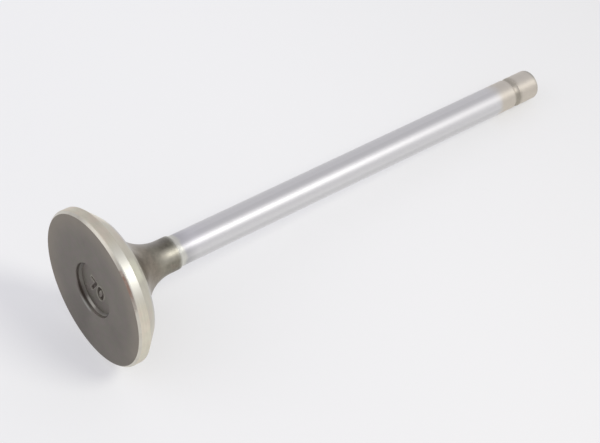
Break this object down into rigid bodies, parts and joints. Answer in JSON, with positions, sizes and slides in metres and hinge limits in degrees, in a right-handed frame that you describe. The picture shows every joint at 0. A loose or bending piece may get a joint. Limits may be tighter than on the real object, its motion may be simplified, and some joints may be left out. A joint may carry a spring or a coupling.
{
  "type": "engine valve",
  "caption": "Poppet valve with a flat round head, conical seat, flared neck, slender ground stem and a keeper groove near the tip.",
  "frame": {"origin": "centre of the flat head face, which is the bottom of the valve as it stands on its head", "axes": "+Z along the stem, from the head face to the tip; the valve is a body of revolution, so X and Y are any two directions across it"},
  "size_m": [0.04, 0.04, 0.142],
  "materials": {
    "valve_steel": "hard chromed stem, ground margin and seat, dark heat-scaled face and neck, bare ground tip"
  },
  "bodies": {
    "root": {"valve": "valve_steel"}
  },
  "joints": []
}
